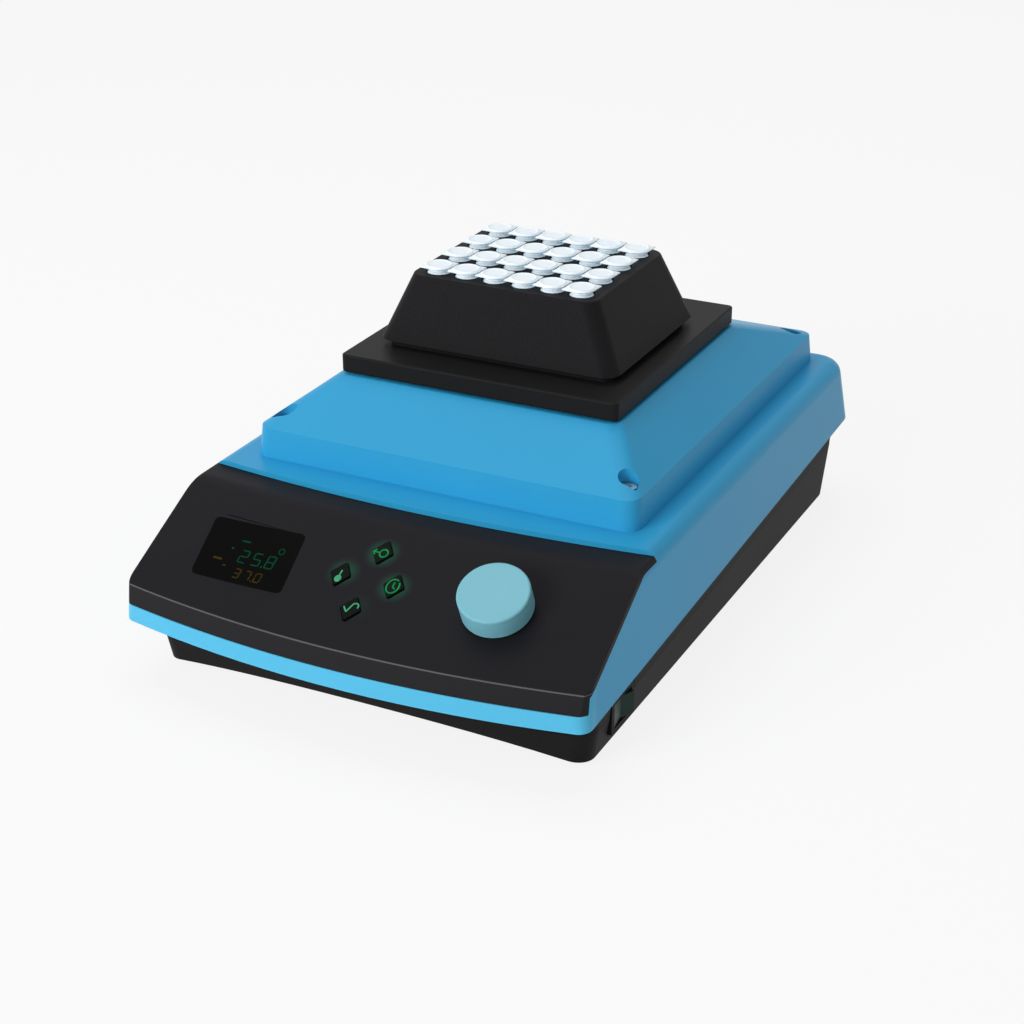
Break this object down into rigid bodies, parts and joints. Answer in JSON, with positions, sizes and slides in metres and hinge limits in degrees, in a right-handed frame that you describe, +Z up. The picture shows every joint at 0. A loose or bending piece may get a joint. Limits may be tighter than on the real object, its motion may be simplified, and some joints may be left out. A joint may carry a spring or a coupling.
{
  "type": "thermal mixer",
  "caption": "Bench thermal mixer: sloping control panel with display, keys and knob, and an orbiting platform with a heated block of closed sample tubes.",
  "frame": {"origin": "on the table, under the middle of the body", "axes": "+Z up, +Y to the back, +X to the right seen from the front"},
  "size_m": [0.22, 0.34, 0.1542],
  "materials": {
    "housing_blue": "smooth moulded plastic, satin",
    "panel_black": "smooth black plastic, satin",
    "pane": "tinted clear plastic, polished",
    "tray_black": "fine textured plastic",
    "rubber": "soft rubber",
    "steel": "turned or plated steel",
    "aluminium": "milled aluminium",
    "platform_black": "smooth black plastic, satin",
    "shroud_black": "fine textured black plastic",
    "switch_black": "moulded plastic",
    "rocker_dark": "dark translucent green plastic",
    "brass": "turned brass",
    "board_green": "circuit board",
    "white_plastic": "moulded plastic",
    "key_black": "smooth plastic",
    "knob_blue": "smooth light blue plastic, satin",
    "belt_rubber": "toothed rubber belt",
    "heater_red": "silicone heater mat",
    "tube_clear": "translucent polypropylene"
  },
  "bodies": {
    "housing": {"upper_housing": "housing_blue", "control_panel": "panel_black", "window_pane": "pane", "base_tray": "tray_black", "drive_cover": "housing_blue", "feet": "rubber", "housing_screws": "steel", "cover_screws": "steel", "rocker_frame": "switch_black", "mains_inlet": "switch_black", "inlet_pins": "brass", "power_board": "board_green", "power_board_posts": "white_plastic", "power_components": "switch_black", "control_board": "board_green", "board_screws": "steel", "display_module": "switch_black", "key_switches": "white_plastic", "encoder_body": "switch_black", "encoder_nut": "steel", "chassis_plate": "aluminium", "chassis_posts": "aluminium", "chassis_screws": "steel", "bearing_housing": "aluminium", "bearing_housing_bolts": "steel", "main_bearings": "steel", "motor_body": "steel", "motor_screws": "steel", "drive_belt": "belt_rubber", "idler_bushes": "brass"},
    "drive_rotor": {"drive_shaft": "steel", "retaining_ring": "steel", "driven_pulley": "aluminium", "counterweight": "steel"},
    "shaking_platform": {"platform_carrier": "aluminium", "pin_bearing": "steel", "platform": "platform_black", "platform_screws": "steel", "heater_plate": "heater_red", "heating_block": "aluminium", "block_screws": "steel", "temperature_sensor": "steel", "block_shroud": "shroud_black"},
    "idler_1": {"idler_crank_1": "steel"},
    "idler_2": {"idler_crank_2": "steel"},
    "idler_3": {"idler_crank_3": "steel"},
    "motor_rotor": {"motor_shaft": "steel", "motor_pulley": "aluminium"},
    "tubes_1": {"tube_row_1": "tube_clear"},
    "tubes_2": {"tube_row_2": "tube_clear"},
    "tubes_3": {"tube_row_3": "tube_clear"},
    "tubes_4": {"tube_row_4": "tube_clear"},
    "key_top_body": {"key_top": "key_black"},
    "key_left_body": {"key_left": "key_black"},
    "key_right_body": {"key_right": "key_black"},
    "key_bottom_body": {"key_bottom": "key_black"},
    "encoder_ring": {"encoder_rotor": "switch_black"},
    "knob": {"encoder_shaft": "steel", "setting_knob": "knob_blue"},
    "rocker_body": {"rocker": "rocker_dark"}
  },
  "joints": [
    {"name": "drive_spin", "type": "hinge", "parent": "housing", "child": "drive_rotor", "pos_m": [0, 0.028, 0.07], "axis": [0, 0, 1], "continuous": true},
    {"name": "platform_orbit", "type": "hinge", "parent": "drive_rotor", "child": "shaking_platform", "pos_m": [0, 0.0295, 0.097], "axis": [0, 0, 1], "continuous": true},
    {"name": "idler_1_spin", "type": "hinge", "parent": "housing", "child": "idler_1", "pos_m": [0, 0.064, 0.064], "axis": [0, 0, 1], "continuous": true},
    {"name": "idler_2_spin", "type": "hinge", "parent": "housing", "child": "idler_2", "pos_m": [-0.03118, 0.01, 0.064], "axis": [0, 0, 1], "continuous": true},
    {"name": "idler_3_spin", "type": "hinge", "parent": "housing", "child": "idler_3", "pos_m": [0.03118, 0.01, 0.064], "axis": [0, 0, 1], "continuous": true},
    {"name": "motor_spin", "type": "hinge", "parent": "housing", "child": "motor_rotor", "pos_m": [0, 0.098, 0.06], "axis": [0, 0, 1], "continuous": true},
    {"name": "tubes_1_lift", "type": "slide", "parent": "shaking_platform", "child": "tubes_1", "axis": [0, 0, 1], "range_m": [0, 0.045]},
    {"name": "tubes_2_lift", "type": "slide", "parent": "shaking_platform", "child": "tubes_2", "axis": [0, 0, 1], "range_m": [0, 0.045]},
    {"name": "tubes_3_lift", "type": "slide", "parent": "shaking_platform", "child": "tubes_3", "axis": [0, 0, 1], "range_m": [0, 0.045]},
    {"name": "tubes_4_lift", "type": "slide", "parent": "shaking_platform", "child": "tubes_4", "axis": [0, 0, 1], "range_m": [0, 0.045]},
    {"name": "key_top_press", "type": "slide", "parent": "housing", "child": "key_top_body", "axis": [0.0007, 0.4318, -0.902], "range_m": [0, 0.0007], "stiffness_N_per_m": 600, "springref_m": -0.0005},
    {"name": "key_left_press", "type": "slide", "parent": "housing", "child": "key_left_body", "axis": [0.0085, 0.4323, -0.9017], "range_m": [0, 0.0007], "stiffness_N_per_m": 600, "springref_m": -0.0005},
    {"name": "key_right_press", "type": "slide", "parent": "housing", "child": "key_right_body", "axis": [-0.0068, 0.4321, -0.9018], "range_m": [0, 0.0007], "stiffness_N_per_m": 600, "springref_m": -0.0005},
    {"name": "key_bottom_press", "type": "slide", "parent": "housing", "child": "key_bottom_body", "axis": [0.001, 0.4318, -0.902], "range_m": [0, 0.0007], "stiffness_N_per_m": 600, "springref_m": -0.0005},
    {"name": "knob_turn", "type": "hinge", "parent": "housing", "child": "encoder_ring", "pos_m": [0.0582, -0.13305, 0.0606], "axis": [0.0359, -0.4415, 0.8965], "continuous": true},
    {"name": "knob_press", "type": "slide", "parent": "encoder_ring", "child": "knob", "axis": [-0.0359, 0.4415, -0.8965], "range_m": [0, 0.0006], "stiffness_N_per_m": 800, "springref_m": -0.0008},
    {"name": "rocker_tip", "type": "hinge", "parent": "housing", "child": "rocker_body", "pos_m": [0.1, -0.112, 0.0156], "axis": [0, 0, 1], "range_deg": [0, 16]}
  ],
  "couplings": [
    {"joint": "platform_orbit", "follows": "drive_spin", "ratio": -1},
    {"joint": "idler_1_spin", "follows": "drive_spin", "ratio": 1},
    {"joint": "idler_2_spin", "follows": "drive_spin", "ratio": 1},
    {"joint": "idler_3_spin", "follows": "drive_spin", "ratio": 1},
    {"joint": "motor_spin", "follows": "drive_spin", "ratio": 3}
  ]
}
